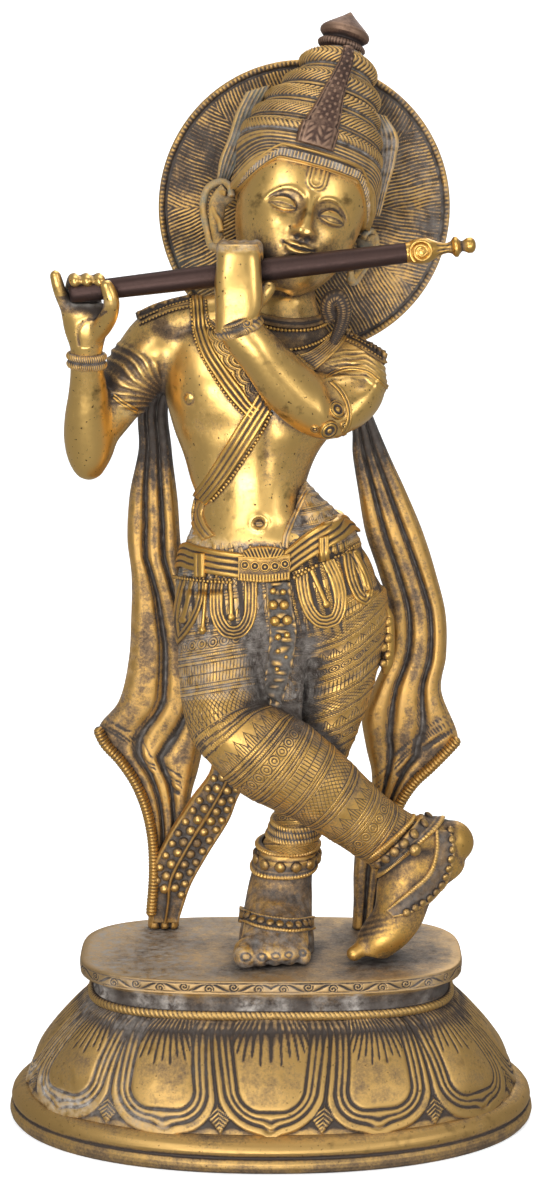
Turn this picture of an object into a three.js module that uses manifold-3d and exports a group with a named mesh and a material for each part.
// A flute player in cast brass, standing cross-legged on an oval lotus plinth, with a halo disc
// behind the head.
// Millimetres, +Z up. The figure faces -Y, and the origin is the middle of the plinth's underside.

import * as THREE from 'three'
import { mergeVertices } from 'three/addons/utils/BufferGeometryUtils.js'
import Module from 'manifold-3d'

const wasm = await Module()
wasm.setup()

// Overall sizes
const plinthHeight = 152
const figureHeight = 848
const clearance = 0.3

// Plinth
const plateHalfWidth = 175.5
const plateHalfDepth = 101
const plateSquareness = 3.2
const plateThickness = 12
const plateSetback = 8
const neckInset = 13
const neckInsetInFront = 5
const neckHeight = 24
const ropeRadius = 4
const petalCount = 12
const petalHeight = 84
const petalSpread = 53
const petalRelief = 4
const petalTipDrop = 8
const footSpread = 67
const footSquareness = 2.1
const footHeight = 13

// Halo disc
const haloRadius = 131.5
const haloThickness = 9
const haloRimRadius = 4
const haloRibDepth = 1.6
const haloRibs = 20

// Flute, a rod with a cast finial at its right end
const fluteStartRadius = 9
const fluteMouthRadius = 10
const fluteEndRadius = 8.5
const finialLength = 56

// Mesh detail
const columnsPerPetal = 4
const haloSegments = 2 * haloRibs
const limbSides = 9
const torsoSides = 16
const legSides = 12
const headSides = 12
const ringSides = 8
const fingerSides = 5
const shortestEdge = 2

// The free form of the figure is given in thousandths of the figure's height, from its soles up
const unit = figureHeight / 1000
const soleHeight = plinthHeight + clearance

// The flute's two ends, and the middle of the halo's front, in the same thousandths
const fluteStart = [-204, -80.2, 716.6]
const fluteEnd = [141.5, -77.8, 757.9]
const haloMiddle = [35.4, 67.2, 798]

function material(color, roughness, metalness) {
  return new THREE.MeshStandardMaterial({ color, roughness, metalness })
}

const brass = material('#a9802f', 0.38, 0.9)
const agedBrass = material('#7c6434', 0.5, 0.85)
const darkRod = material('#3d2a28', 0.45, 0.5)
const plinthBrass = material('#8f7133', 0.42, 0.88)

// Closed solids from rings of points

function meshToSolid(geometry) {
  const plain = geometry.clone()
  plain.deleteAttribute('normal')
  plain.deleteAttribute('uv')
  const merged = mergeVertices(plain, 1e-4)
  const mesh = new wasm.Mesh({
    numProp: 3,
    vertProperties: new Float32Array(merged.attributes.position.array),
    triVerts: new Uint32Array(merged.index.array),
  })
  return new wasm.Manifold(mesh)
}

function solidToGeometry(solid) {
  const mesh = solid.getMesh()
  const geometry = new THREE.BufferGeometry()
  geometry.setAttribute('position', new THREE.BufferAttribute(new Float32Array(mesh.vertProperties), 3))
  geometry.setIndex(new THREE.BufferAttribute(new Uint32Array(mesh.triVerts), 1))
  geometry.computeVertexNormals()
  return geometry
}

function signedVolume(points, faces) {
  let volume = 0
  for (const [a, b, c] of faces) {
    volume += points[a].dot(new THREE.Vector3().crossVectors(points[b], points[c])) / 6
  }
  return volume
}

// Joins leave very short edges. Each one is drawn together to one of its ends where the skin
// stays closed and no face turns over.
function withoutShortEdges(geometry, shortest) {
  const at = []
  const positions = geometry.attributes.position
  for (let i = 0; i < positions.count; i += 1) at.push(new THREE.Vector3().fromBufferAttribute(positions, i))
  const faces = []
  const facesOf = at.map(() => new Set())
  for (let t = 0; t < geometry.index.count; t += 3) {
    const face = [0, 1, 2].map((k) => geometry.index.getX(t + k))
    face.forEach((v) => facesOf[v].add(faces.length))
    faces.push(face)
  }
  const normal = ([a, b, c]) => new THREE.Vector3().crossVectors(at[b].clone().sub(at[a]), at[c].clone().sub(at[a]))
  const around = (v) => new Set([...facesOf[v]].flatMap((f) => faces[f]))
  const canMerge = (gone, kept) => {
    const near = around(kept)
    const shared = [...around(gone)].filter((v) => near.has(v) && v !== gone && v !== kept)
    if (shared.length !== 2) return false
    return [...facesOf[gone]].filter((f) => !faces[f].includes(kept)).every((f) => {
      const before = normal(faces[f])
      const after = normal(faces[f].map((v) => (v === gone ? kept : v)))
      return after.dot(before) > 0.5 * after.length() * before.length() && after.length() > 0.02
    })
  }
  for (let v = 0; v < at.length; v += 1) {
    const close = [...around(v)].find((w) => w !== v && at[w].distanceTo(at[v]) < shortest && canMerge(v, w))
    if (close === undefined) continue
    for (const f of [...facesOf[v]]) {
      if (faces[f].includes(close)) {
        faces[f].forEach((w) => facesOf[w].delete(f))
        faces[f] = null
      } else {
        faces[f] = faces[f].map((w) => (w === v ? close : w))
        facesOf[close].add(f)
      }
    }
    facesOf[v].clear()
  }
  geometry.setIndex(faces.filter((face) => face !== null).flat())
  return geometry
}

// Skin over a row of rings, closed by a fan at each end
function loft(rings) {
  const sides = rings[0].length
  const points = rings.flat()
  const faces = []
  for (let row = 0; row < rings.length - 1; row += 1) {
    for (let i = 0; i < sides; i += 1) {
      const a = row * sides + i
      const b = row * sides + ((i + 1) % sides)
      faces.push([a, b, b + sides], [a, b + sides, a + sides])
    }
  }
  const lastRow = (rings.length - 1) * sides
  const middle = (ring) => ring.reduce((sum, p) => sum.add(p), new THREE.Vector3()).divideScalar(sides)
  const firstMiddle = points.push(middle(rings[0])) - 1
  const lastMiddle = points.push(middle(rings[rings.length - 1])) - 1
  for (let i = 0; i < sides; i += 1) {
    const next = (i + 1) % sides
    faces.push([firstMiddle, next, i], [lastMiddle, lastRow + i, lastRow + next])
  }
  if (signedVolume(points, faces) < 0) faces.forEach((face) => face.reverse())
  const geometry = new THREE.BufferGeometry()
  geometry.setAttribute('position', new THREE.Float32BufferAttribute(points.flatMap((p) => [p.x, p.y, p.z]), 3))
  geometry.setIndex(faces.flat())
  return geometry
}

// A place on the figure, from thousandths of its height
function place(x, y, z) {
  return new THREE.Vector3(x * unit, y * unit, soleHeight + z * unit)
}

function ellipse(centre, across, deep, sides, squareness = 2) {
  const ring = []
  for (let i = 0; i < sides; i += 1) {
    const angle = (i / sides) * 2 * Math.PI
    const c = Math.cos(angle)
    const s = Math.sin(angle)
    const u = Math.sign(c) * Math.abs(c) ** (2 / squareness)
    const v = Math.sign(s) * Math.abs(s) ** (2 / squareness)
    ring.push(centre.clone().addScaledVector(across, u).addScaledVector(deep, v))
  }
  return ring
}

// Stations follow the outline seen from the front:
// [left x, left z, right x, right z, middle y, half depth]
function stationRing([leftX, leftZ, rightX, rightZ, y, depth], sides, squareness) {
  const left = place(leftX, y, leftZ)
  const right = place(rightX, y, rightZ)
  const centre = left.clone().lerp(right, 0.5)
  const across = right.clone().sub(left).multiplyScalar(0.5)
  return ellipse(centre, across, new THREE.Vector3(0, depth * unit, 0), sides, squareness)
}

function outlineLoft(stations, sides = limbSides, squareness = 2) {
  return meshToSolid(loft(stations.map((station) => stationRing(station, sides, squareness))))
}

// Round or flat bar through points [x, y, z, half width, half thickness]
function bar(points, sides = 6) {
  const centres = points.map(([x, y, z]) => place(x, y, z))
  const rings = points.map(([, , , width, thickness = width], i) => {
    const before = centres[Math.max(0, i - 1)]
    const after = centres[Math.min(centres.length - 1, i + 1)]
    const along = after.clone().sub(before).normalize()
    const across = new THREE.Vector3().crossVectors(along, new THREE.Vector3(0, 1, 0))
    if (across.lengthSq() < 0.01) across.set(1, 0, 0)
    across.normalize()
    const deep = new THREE.Vector3().crossVectors(across, along).normalize()
    return ellipse(centres[i], across.multiplyScalar(width * unit), deep.multiplyScalar(thickness * unit), sides)
  })
  return meshToSolid(loft(rings))
}

function ball(x, y, z, rx, ry = rx, rz = rx) {
  const geometry = new THREE.SphereGeometry(1, 7, 4)
  const centre = place(x, y, z)
  geometry.scale(rx * unit, ry * unit, rz * unit)
  geometry.translate(centre.x, centre.y, centre.z)
  return meshToSolid(geometry)
}

function joined(solids) {
  return solids.reduce((sum, solid) => sum.add(solid))
}

// Height of the front surface of a row of stations at one place
function frontOf(stations, x, z) {
  const levels = stations.map((s) => (s[1] + s[3]) / 2)
  let i = levels.findIndex((level, k) => k < levels.length - 1 && (level - z) * (levels[k + 1] - z) <= 0)
  if (i < 0) i = z > levels[0] ? 0 : levels.length - 2
  const share = THREE.MathUtils.clamp((z - levels[i]) / (levels[i + 1] - levels[i]), 0, 1)
  const [leftX, , rightX, , y, depth] = stations[i].map((v, k) => THREE.MathUtils.lerp(v, stations[i + 1][k], share))
  const across = THREE.MathUtils.clamp((2 * x - leftX - rightX) / (rightX - leftX), -1, 1)
  return y - depth * Math.sqrt(1 - across * across)
}

// A point on the plinth's level outline, so far outside the edge of its top plate at the ends and
// in front. The outline is squarer at the plate and close to an ellipse at the foot.
function ovalPoint(angle, endSpread, frontSpread = endSpread) {
  const towardsFoot = THREE.MathUtils.clamp(endSpread / footSpread, 0, 1)
  const power = 2 / THREE.MathUtils.lerp(plateSquareness, footSquareness, towardsFoot)
  const c = Math.cos(angle)
  const s = Math.sin(angle)
  return new THREE.Vector2(
    (plateHalfWidth + endSpread) * Math.sign(c) * Math.abs(c) ** power,
    (plateHalfDepth + frontSpread) * Math.sign(s) * Math.abs(s) ** power,
  )
}

// Angles that space the petals evenly round the oval, starting in front
function evenAngles(count) {
  const fine = 1440
  const angles = [-Math.PI / 2]
  const spot = (i) => ovalPoint((i / fine) * 2 * Math.PI - Math.PI / 2, petalSpread * 0.7)
  const travelled = [0]
  for (let i = 1; i <= fine; i += 1) travelled.push(travelled[i - 1] + spot(i).distanceTo(spot(i - 1)))
  let k = 0
  for (let i = 1; i < count; i += 1) {
    const wanted = (travelled[fine] * i) / count
    while (travelled[k + 1] < wanted) k += 1
    const share = (wanted - travelled[k]) / (travelled[k + 1] - travelled[k])
    angles.push(((k + share) / fine) * 2 * Math.PI - Math.PI / 2)
  }
  return angles
}

function plinthGeometry() {
  const columns = petalCount * columnsPerPetal
  const angles = evenAngles(columns)
  const neckBottom = plinthHeight - plateThickness - neckHeight
  const petalBottom = neckBottom - petalHeight
  const rows = []
  // Each row: outward offset, height, petal relief from 0 to 1, share of the drop of the petal's tip
  rows.push([footSpread - 4, 0, 0, 0])
  rows.push([footSpread, footHeight * 0.3, 0, 0])
  rows.push([footSpread - 2, footHeight, 0, 0])
  rows.push([(footSpread + petalSpread) / 2, (footHeight + petalBottom) / 2 + 4, 0, 0])
  rows.push([petalSpread - 1, petalBottom, 0, 0.7])
  rows.push([petalSpread + 2, petalBottom + 3, 0.6, 1])
  // The petals curve in to the neck like an egg-and-dart moulding
  const petalRows = 5
  for (let i = 1; i <= petalRows; i += 1) {
    const share = i / petalRows
    const offset = petalSpread - (petalSpread + neckInset) * (0.36 * share + 0.64 * share ** 2)
    const relief = Math.sin(Math.PI * Math.min(1, 0.3 + share * 0.7))
    rows.push([offset, petalBottom + 3 + (petalHeight - 3) * share, relief, 1 - Math.min(1, share * 2)])
  }
  rows.push([ropeRadius - neckInset, neckBottom + ropeRadius, 0, 0])
  rows.push([-neckInset, neckBottom + 2 * ropeRadius, 0, 0])
  rows.push([-1, plinthHeight - plateThickness, 0, 0])
  rows.push([0, plinthHeight - 1.5, 0, 0])
  rows.push([-1.5, plinthHeight, 0, 0])
  const rings = rows.map(([offset, height, relief, drop]) => angles.map((angle, column) => {
    const across = ((column + columnsPerPetal / 2) % columnsPerPetal) / columnsPerPetal * 2 - 1
    const edge = Math.abs(across)
    const lift = relief * petalRelief * (edge > 0.95 ? -1 : 0.5 + edge)
    const tip = -drop * petalTipDrop * Math.max(0, 1 - 2 * edge)
    const frontOffset = offset < 0 ? offset * neckInsetInFront / neckInset : offset
    const spot = ovalPoint(angle, offset + lift, frontOffset + lift)
    const back = plateSetback * Math.max(0, (height - footHeight) / (plinthHeight - footHeight))
    return new THREE.Vector3(spot.x, spot.y + back, height + tip)
  }))
  return loft(rings)
}

// The disc's section, from the axis at the front round its rim to the axis at the back
function haloGeometry(grow) {
  const half = haloThickness / 2
  const groove = haloRadius - 2.6 * haloRimRadius
  const section = [
    [0, -half * 0.2],
    [haloRadius * 0.4, -half * 0.2],
    [groove - 3, -half * 0.5],
    [groove, half * 0.2],
    [haloRadius - 1.6 * haloRimRadius, -half],
    [haloRadius - 0.4 * haloRimRadius, -half],
    [haloRadius, 0],
    [haloRadius - 0.4 * haloRimRadius, half],
    [0, half],
  ]
  const profile = section.map(([r, y]) => new THREE.Vector2(r > 0 ? r + grow : 0, y + Math.sign(y) * grow))
  const geometry = new THREE.LatheGeometry(profile, haloSegments)
  // Ribs: the face between the middle and the groove steps in and out
  const spots = geometry.attributes.position
  for (let i = 0; i < spots.count; i += 1) {
    const radius = Math.hypot(spots.getX(i), spots.getZ(i))
    const onFace = spots.getY(i) < 0 && radius > haloRadius * 0.4 && radius < groove
    const turn = Math.round(Math.atan2(spots.getZ(i), spots.getX(i)) / (2 * Math.PI) * haloSegments)
    if (onFace && turn % 2 === 0 && grow === 0) spots.setY(i, spots.getY(i) + haloRibDepth)
  }
  const middle = place(...haloMiddle)
  geometry.translate(middle.x, middle.y + half, middle.z)
  return geometry
}

// Flute: a rod that swells at the mouth, and a finial with a scroll, a neck, a ring and a knob
function fluteGeometry(grow) {
  const start = place(...fluteStart)
  const along = place(...fluteEnd).sub(start)
  const length = along.length()
  const section = [
    [0, -grow],
    [fluteStartRadius, -grow],
    [fluteMouthRadius, length * 0.55],
    [fluteEndRadius, length],
    [fluteEndRadius + 2.5, length + finialLength * 0.1],
    [fluteEndRadius + 1, length + finialLength * 0.3],
    [fluteEndRadius * 0.5, length + finialLength * 0.52],
    [fluteEndRadius * 0.55, length + finialLength * 0.66],
    [fluteEndRadius * 0.95, length + finialLength * 0.74],
    [fluteEndRadius * 0.5, length + finialLength * 0.82],
    [fluteEndRadius * 0.7, length + finialLength * 0.9],
    [0, length + finialLength],
  ]
  const profile = section.map(([r, y]) => new THREE.Vector2(r > 0 ? r + grow : 0, y))
  const geometry = new THREE.LatheGeometry(profile, 10)
  const turn = new THREE.Quaternion().setFromUnitVectors(new THREE.Vector3(0, 1, 0), along.normalize())
  geometry.applyQuaternion(turn)
  geometry.translate(start.x, start.y, start.z)
  return geometry
}

// Body

const torso = [
  [-14, 709, 43, 705, 0, 28],
  [-22, 688, 53, 682, 2, 31],
  [-74, 682, 70, 661, 7, 39],
  [-117, 665, 100, 640, 9, 50],
  [-117, 629, 94, 619, 9, 58],
  [-102, 568, 67, 568, 9, 58],
  [-92, 541, 50, 545, 9, 53],
  [-85, 515, 39, 518, 9, 50],
  [-78, 493, 35, 499, 9, 48],
  [-81, 472, 39, 482, 12, 51],
  [-93, 441, 79, 463, 14, 59],
  [-99, 412, 104, 428, 17, 66],
  [-100, 354, 125, 368, 19, 66],
  [-87, 324, 121, 335, 19, 57],
]

const rightUpperArm = [
  [-111, 692, -69, 652, 14, 31],
  [-137, 687, -96, 629, 12, 37],
  [-166, 650, -119, 606, 9, 34],
  [-199, 582, -156, 562, -2, 26],
  [-211, 551, -169, 532, -9, 25],
]

const rightForearm = [
  [-205, 524, -178, 524, -9, 17],
  [-214, 538, -167, 538, -9, 25],
  [-217, 562, -165, 562, -14, 27],
  [-210, 612, -169, 612, -35, 21],
  [-207, 634, -172, 634, -47, 19],
  [-206, 656, -173, 656, -59, 17],
]

const rightPalm = [
  [-206, 656, -173, 656, -59, 15],
  [-212, 677, -167, 677, -64, 17],
  [-213, 694, -166, 694, -67, 17],
  [-211, 708, -170, 708, -66, 12],
]

const leftUpperArm = [
  [30, 663, 52, 605, 9, 35],
  [62, 667, 67, 600, 7, 39],
  [100, 660, 78, 603, 2, 38],
  [121, 635, 83, 606, -12, 35],
  [118, 605, 74, 616, -26, 33],
  [94, 579, 53, 610, -41, 31],
  [69, 567, 30, 606, -53, 28],
]

const leftForearm = [
  [74, 573, 52, 629, -54, 24],
  [59, 565, 52, 629, -57, 31],
  [41, 569, 45, 636, -61, 32],
  [17, 583, 36, 644, -68, 31],
  [-8, 609, 19, 660, -80, 28],
  [-28, 640, 3, 676, -92, 25],
  [-45, 663, -11, 690, -101, 20],
  [-56, 676, -13, 694, -106, 15],
]

const leftPalm = [
  [-56, 682, -13, 690, -106, 14],
  [-56, 704, -9, 704, -107, 14],
  [-58, 727, -9, 727, -107, 14],
  [-55, 750, -11, 750, -106, 14],
  [-54, 764, -11, 764, -100, 14],
]

const rightLeg = [
  [-100, 397, -1, 407, 9, 57],
  [-99, 345, -7, 355, -2, 52],
  [-97, 299, -10, 305, -21, 50],
  [-93, 273, -10, 288, -35, 48],
  [-85, 248, -3, 286, -45, 47],
  [-62, 219, 13, 279, -51, 46],
  [-33, 190, 41, 261, -52, 44],
  [31, 155, 88, 217, -44, 38],
  [59, 137, 108, 195, -37, 35],
  [85, 118, 130, 173, -29, 33],
  [104, 103, 155, 155, -21, 29],
]

const leftLeg = [
  [18, 395, 123, 395, 21, 59],
  [25, 341, 123, 352, 18, 54],
  [31, 287, 111, 295, 14, 50],
  [27, 243, 94, 243, 14, 44],
  [7, 163, 60, 163, 21, 35],
  [-1, 131, 52, 123, 24, 34],
  [-12, 106, 51, 104, 24, 33],
  [-22, 78, 45, 78, 24, 32],
  [-27, 50, 45, 50, 18, 36],
  [-32, 24, 44, 24, 6, 48],
  [-33, -4, 44, -4, 2, 52],
]

const rightFoot = [
  [204, 135, 220, 114, 2, 12],
  [182, 149, 208, 94, -5, 24],
  [143, 147, 190, 78, -12, 28],
  [115, 85, 172, 62, -21, 29],
  [111, 56, 161, 37, -28, 28],
  [97, 35, 145, 18, -33, 27],
  [88, 14, 126, 0, -35, 21],
  [92, 4, 122, -6, -35, 14],
]

function torsoAndLimbs() {
  return joined([
    outlineLoft(torso, torsoSides, 2.2),
    outlineLoft(rightUpperArm),
    outlineLoft(rightForearm),
    outlineLoft(leftUpperArm),
    outlineLoft(leftForearm),
    outlineLoft(rightLeg, legSides),
    outlineLoft(leftLeg, legSides),
    outlineLoft(rightFoot),
  ])
}

// The standing foot points forward, with its toes as five rounded bars
function standingFoot() {
  const toes = []
  const toeCount = 5
  for (let i = 0; i < toeCount; i += 1) {
    const x = -25 + i * 15.5
    const reach = -70 + i * 3.5
    const radius = i === 0 ? 10 : 7.5
    toes.push(bar([[x, -30, radius], [x, reach + 12, radius], [x, reach, radius * 0.6]]
      .map(([px, py, r]) => [px, py, r, r]), fingerSides))
  }
  const instep = bar([[5, 42, 30, 30, 26], [5, 5, 34, 34, 28], [5, -34, 20, 38, 18], [4, -52, 9, 36, 10]], limbSides)
  return joined([instep, ...toes])
}

// Two hands on the flute
function hands() {
  const solids = [outlineLoft(rightPalm), outlineLoft(leftPalm, limbSides, 2.6)]
  // Right hand: three fingers come up behind the flute and curl over it, the little finger stands up
  for (let i = 0; i < 3; i += 1) {
    const x = -203 + i * 12
    solids.push(bar([[x, -58, 698, 6.5], [x, -62, 720, 6.5], [x, -78, 729, 6], [x, -98, 722, 5]], fingerSides))
  }
  solids.push(bar([[-205, -62, 700, 6.5], [-212, -66, 716, 6.5], [-217, -70, 736, 4.5]], fingerSides))
  solids.push(bar([[-172, -76, 684, 10], [-163, -92, 700, 8.5], [-166, -97, 716, 7.5], [-170, -96, 728, 5]], fingerSides))
  // Left hand: the closed fingers fold back over the flute, the thumb shows below it
  solids.push(bar([[-33, -104, 750, 22, 8], [-33, -94, 764, 21, 7], [-33, -72, 765, 20, 7], [-33, -62, 742, 18, 6]], 8))
  solids.push(bar([[-22, -100, 700, 8], [-8, -94, 712, 7.5], [0, -88, 724, 5]], fingerSides))
  return joined(solids)
}

// Head, in a frame of its own that is turned, tilted back and leans to its left

const headCentre = [25, -2, 780]
const headLean = THREE.MathUtils.degToRad(15.5)
const headTiltBack = THREE.MathUtils.degToRad(-12)
const headTurn = THREE.MathUtils.degToRad(7)

const headFrame = new THREE.Matrix4()
  .makeRotationY(headLean)
  .multiply(new THREE.Matrix4().makeRotationX(headTiltBack))
  .multiply(new THREE.Matrix4().makeRotationZ(headTurn))

function headPlace(x, y, z) {
  const turned = new THREE.Vector3(x, y, z).applyMatrix4(headFrame)
  return [headCentre[0] + turned.x, headCentre[1] + turned.y, headCentre[2] + turned.z]
}

function headBar(points, sides) {
  return bar(points.map(([x, y, z, ...size]) => [...headPlace(x, y, z), ...size]), sides)
}

function headBall(x, y, z, ...radii) {
  return ball(...headPlace(x, y, z), ...radii)
}

// One level ring round the head; the rim can drop from the forehead to the sides
function headRing([z, halfWidth, front, back, drop = 0], sides) {
  const ring = []
  for (let i = 0; i < sides; i += 1) {
    const angle = (i / sides) * 2 * Math.PI
    const forward = Math.max(0, -Math.sin(angle))
    const y = Math.sin(angle) < 0 ? front * forward : back * Math.sin(angle)
    ring.push(place(...headPlace(halfWidth * Math.cos(angle), y, z - drop * (1 - forward ** 0.8))))
  }
  return ring
}

function headLoft(rings, sides = headSides) {
  return meshToSolid(loft(rings.map((ring) => headRing(ring, sides))))
}

const skull = [
  [-71, 16, -52, -30],
  [-64, 30, -60, -12],
  [-50, 45, -63, 16],
  [-30, 56, -64, 40],
  [-5, 63, -63, 56],
  [20, 66, -62, 66],
  [66, 66, -58, 64],
]

// Half width of the crown at a height over the middle of the head
const crownProfile = [[62, 76], [97, 67], [115, 61], [134, 57], [152, 50], [172, 39], [184, 27]]

function crownHalfWidth(z) {
  const i = Math.max(0, crownProfile.findIndex(([level]) => level >= z) - 1)
  const [z0, r0] = crownProfile[i]
  const [z1, r1] = crownProfile[i + 1]
  return THREE.MathUtils.mapLinear(z, z0, z1, r0, r1)
}

function crown() {
  const backFlat = 0.78
  const round = (z, r, drop = 0) => [z, r, -0.94 * r, backFlat * r, drop]
  const rings = [round(60, 72, 36), round(68, 75, 27), round(76, 74, 10)]
  const tierCount = 6
  const base = 80
  const tierHeight = (182 - base) / tierCount
  for (let i = 0; i < tierCount; i += 1) {
    const z = base + i * tierHeight
    rings.push(round(z, crownHalfWidth(z) - 3))
    rings.push(round(z + 0.6 * tierHeight, crownHalfWidth(z + 0.6 * tierHeight) + 2))
  }
  rings.push(round(184, 20), round(190, 24), round(196, 18))
  rings.push([205, 24.5, -24.5, 24.5], [214, 20, -20, 20], [231, 3, -3, 3])
  const ridge = headBar([[0, -66, 84, 22, 7], [2, -57, 130, 14, 8], [2, -38, 178, 8, 7]])
  const plaque = headBar([[0, -68, 66, 17, 6], [0, -67, 84, 18, 6]])
  return joined([headLoft(rings), ridge, plaque])
}

function head() {
  const solids = [headLoft(skull), crown()]
  solids.push(headBar([[0, -60, 26, 6, 5], [0, -68, 8, 7, 6], [0, -76, -8, 9, 7], [0, -72, -17, 9, 5]]))
  solids.push(headBar([[-15, -60, -34, 3, 4], [0, -67, -34, 6, 6], [15, -60, -34, 3, 4]]))
  for (const side of [-1, 1]) {
    solids.push(headBall(side * 27, -57, 13, 15, 6, 7))
    solids.push(headBar([[side * 70, 8, 26, 9, 6], [side * 74, 8, 10, 15, 6], [side * 68, 2, -20, 9, 6],
      [side * 64, 0, -42, 7, 7]]))
    solids.push(headBar([[side * 55, 14, 128, 13, 4], [side * 69, 14, 84, 14, 4], [side * 74, 16, 36, 8, 4]]))
  }
  solids.push(outlineLoft([[-4, 748, 48, 742, 6, 30], [-12, 716, 46, 712, 4, 30], [-20, 684, 50, 680, 4, 34]]))
  return joined(solids)
}

// Dress and ornaments

const belt = [
  [-98, 446, 86, 475, 14, 64],
  [-104, 438, 96, 467, 14, 72],
  [-105, 416, 105, 453, 15, 74],
  [-100, 407, 106, 444, 15, 68],
]

// A bar that lies on the front of the body, along points [x, z]
function frontBar(stations, points, halfWidth, halfThickness, lift = 1, sides = 6) {
  return bar(points.map(([x, z]) => [x, frontOf(stations, x, z) - lift, z, halfWidth, halfThickness]), sides)
}

// Loops like a letter U hang from the belt over the hips, with a tongue in each
function pendant(x, top, bottom, halfWidth) {
  const round = bottom + halfWidth
  const points = [[x - halfWidth, top], [x - halfWidth, round]]
  for (const turn of [240, 300]) {
    const angle = THREE.MathUtils.degToRad(turn)
    points.push([x + halfWidth * Math.cos(angle), round + halfWidth * Math.sin(angle)])
  }
  points.push([x + halfWidth, round], [x + halfWidth, top])
  const tongue = [[x, top], [x, round + 2]]
  return joined([frontBar(torso, points, 5, 5, 2, 5), frontBar(torso, tongue, halfWidth * 0.4, 4, 2, 5)])
}

function ring(stations) {
  return outlineLoft(stations, ringSides)
}

function ornaments() {
  const solids = [outlineLoft(belt, torsoSides)]
  solids.push(pendant(-40, 418, 340, 18), pendant(62, 432, 352, 20), pendant(98, 440, 372, 13))
  solids.push(pendant(-88, 412, 338, 11))
  solids.push(bar([[6, -58, 420, 14, 6], [7, -48, 376, 14, 8], [6, -38, 332, 14, 10], [2, -30, 290, 9, 10]]))
  // Chest sash in two straps
  const strapA = [[-71, 704], [-63, 676], [-54, 650], [-42, 622], [-24, 598]]
  const strapB = [[-8, 606], [-31, 564], [-54, 532], [-72, 508], [-78, 500]]
  solids.push(frontBar(torso, strapA, 10, 5), frontBar(torso, strapB, 10, 5))
  // Necklaces
  solids.push(frontBar(torso, [[-22, 700], [-4, 688], [16, 684], [36, 688], [54, 700]], 5, 5, 3))
  solids.push(frontBar(torso, [[-20, 680], [0, 664], [22, 658], [46, 662], [66, 676]], 5, 5, 2))
  // Shoulder straps
  solids.push(bar([[-134, 2, 690, 5, 16], [-104, 0, 699, 6, 20], [-76, 0, 706, 5, 18]]))
  solids.push(bar([[78, 0, 672, 5, 18], [100, -4, 661, 6, 18], [117, -8, 647, 5, 12]]))
  // Scroll clasp beside the neck
  solids.push(bar([[58, -14, 714, 8, 8], [72, -20, 706, 10, 9], [74, -26, 688, 8, 8], [64, -28, 655, 5, 8]]))
  // Bangles
  solids.push(ring([[-211, 653, -168, 653, -56, 19], [-216, 644, -161, 644, -55, 24], [-212, 634, -167, 634, -50, 20]]))
  solids.push(ring([[-58, 686, -14, 701, -106, 17], [-59, 672, -9, 694, -104, 21], [-49, 664, -8, 684, -100, 19]]))
  // Elbow disc
  solids.push(ball(70, -62, 596, 12, 12))
  // Anklets
  solids.push(ring([[-16, 114, 52, 112, 24, 34], [-19, 100, 57, 100, 24, 38], [-15, 84, 53, 84, 24, 35]]))
  solids.push(ring([[92, 112, 140, 162, -27, 30], [102, 98, 158, 156, -22, 34], [112, 92, 164, 148, -18, 30]]))
  return joined(solids)
}

// Scarf ends

// Cloth hanging in round folds: a strip with a rippled front and a flat back
function foldedCloth(stations, folds) {
  const acrossFront = folds * 3
  const rings = stations.map(([leftX, leftZ, rightX, rightZ, y, depth]) => {
    const ring = []
    for (let i = 0; i <= acrossFront; i += 1) {
      const share = i / acrossFront
      const edge = Math.min(1, 4 * Math.min(share, 1 - share) + 0.35)
      const ripple = 0.6 - 0.4 * Math.cos(2 * Math.PI * folds * share)
      const x = THREE.MathUtils.lerp(leftX, rightX, share)
      const z = THREE.MathUtils.lerp(leftZ, rightZ, share)
      ring.push(place(x, y - depth * ripple * edge, z))
    }
    const back = 2
    for (let i = back; i >= 0; i -= 1) {
      const share = i / back
      const inset = 0.06 + 0.88 * share
      const x = THREE.MathUtils.lerp(leftX, rightX, inset)
      const z = THREE.MathUtils.lerp(leftZ, rightZ, inset)
      ring.push(place(x, y + depth * 0.7, z))
    }
    return ring
  })
  return meshToSolid(loft(rings))
}

const rightScarf = [
  [-141, 590, -111, 592, 50, 11],
  [-153, 491, -101, 485, 66, 13],
  [-156, 441, -98, 436, 71, 14],
  [-152, 380, -88, 367, 72, 14],
  [-156, 308, -80, 297, 73, 14],
  [-168, 260, -77, 251, 75, 14],
  [-190, 228, -75, 211, 78, 13],
  [-180, 208, -80, 185, 78, 13],
  [-156, 181, -87, 160, 78, 13],
  [-138, 135, -93, 123, 80, 13],
  [-135, 60, -100, 60, 82, 12],
  [-138, -4, -103, -4, 85, 12],
]

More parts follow.
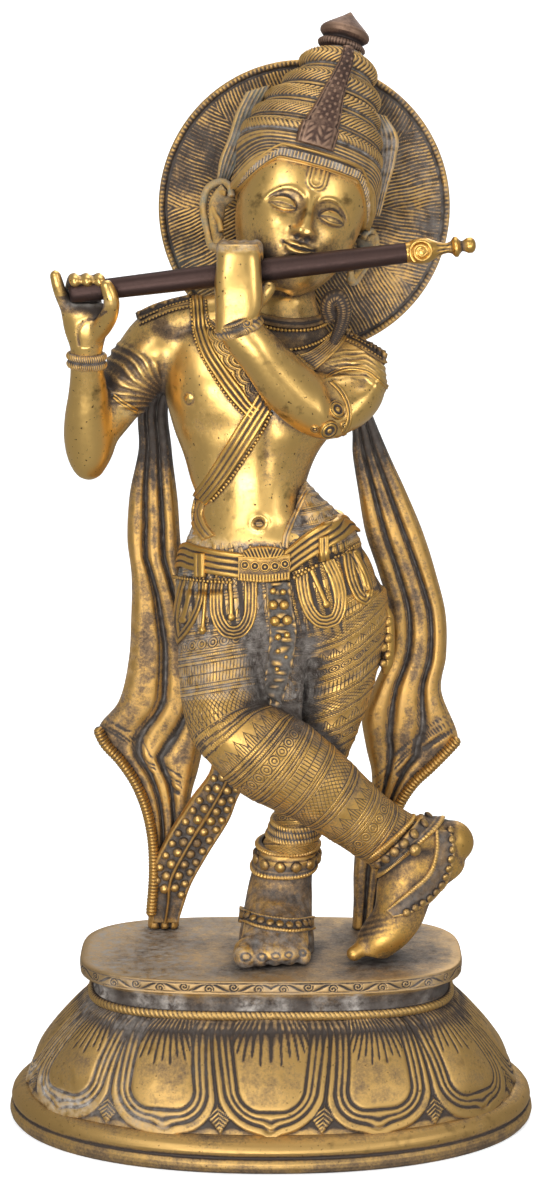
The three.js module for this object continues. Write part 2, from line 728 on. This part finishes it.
const leftScarf = [
  [85, 580, 106, 590, 40, 11],
  [94, 497, 145, 497, 66, 13],
  [100, 447, 166, 447, 68, 14],
  [112, 404, 181, 399, 71, 14],
  [124, 340, 192, 334, 73, 14],
  [108, 274, 187, 274, 73, 14],
  [100, 238, 206, 218, 75, 13],
  [105, 208, 198, 203, 78, 13],
  [111, 181, 169, 183, 78, 13],
  [108, 151, 145, 149, 78, 13],
  [96, 90, 138, 90, 80, 12],
  [91, -4, 122, -4, 85, 12],
]

const beadedEnd = [
  [-71, 240, -10, 206, 20, 14],
  [-65, 198, -31, 171, 35, 14],
  [-89, 156, -46, 133, 50, 14],
  [-117, 108, -71, 89, 61, 14],
  [-133, 69, -89, 54, 68, 14],
  [-132, 36, -97, 30, 73, 14],
  [-133, -4, -103, -4, 78, 14],
]

function scarves() {
  const solids = [foldedCloth(rightScarf, 3), foldedCloth(leftScarf, 3), outlineLoft(beadedEnd, 8, 3)]
  // The scarf runs under each arm to the back of the shoulders
  solids.push(bar([[-60, 48, 640, 22, 9], [-100, 50, 606, 20, 10], [-128, 50, 570, 16, 10]]))
  solids.push(bar([[50, 44, 620, 20, 9], [80, 44, 596, 16, 10], [100, 46, 560, 14, 10]]))
  return joined(solids)
}

// Everything below the soles is the plinth's, and the flute and the halo have room in the figure
function figureGeometry() {
  const parts = joined([torsoAndLimbs(), standingFoot(), hands(), head(), ornaments(), scarves()])
  const whole = meshToSolid(withoutShortEdges(solidToGeometry(parts), shortestEdge))
  const floor = new THREE.BoxGeometry(2 * figureHeight, 2 * figureHeight, plinthHeight)
  floor.translate(0, 0, soleHeight - plinthHeight / 2)
  const rooms = [floor, fluteGeometry(clearance), haloGeometry(clearance)].map(meshToSolid)
  const cut = rooms.reduce((rest, room) => rest.subtract(room), whole)
  // Pockets shut in between limbs and ornaments have no way out, so they are filled
  const outside = cut.decompose().filter((body) => body.volume() > 0)
  return solidToGeometry(joined(outside))
}

function named(name, geometry, look) {
  const mesh = new THREE.Mesh(geometry, look)
  mesh.name = name
  return mesh
}

const statue = new THREE.Group()
statue.add(named('plinth', plinthGeometry(), plinthBrass))
statue.add(named('figure', figureGeometry(), brass))
statue.add(named('flute', fluteGeometry(0), darkRod))
statue.add(named('halo', haloGeometry(0), agedBrass))

export default statue
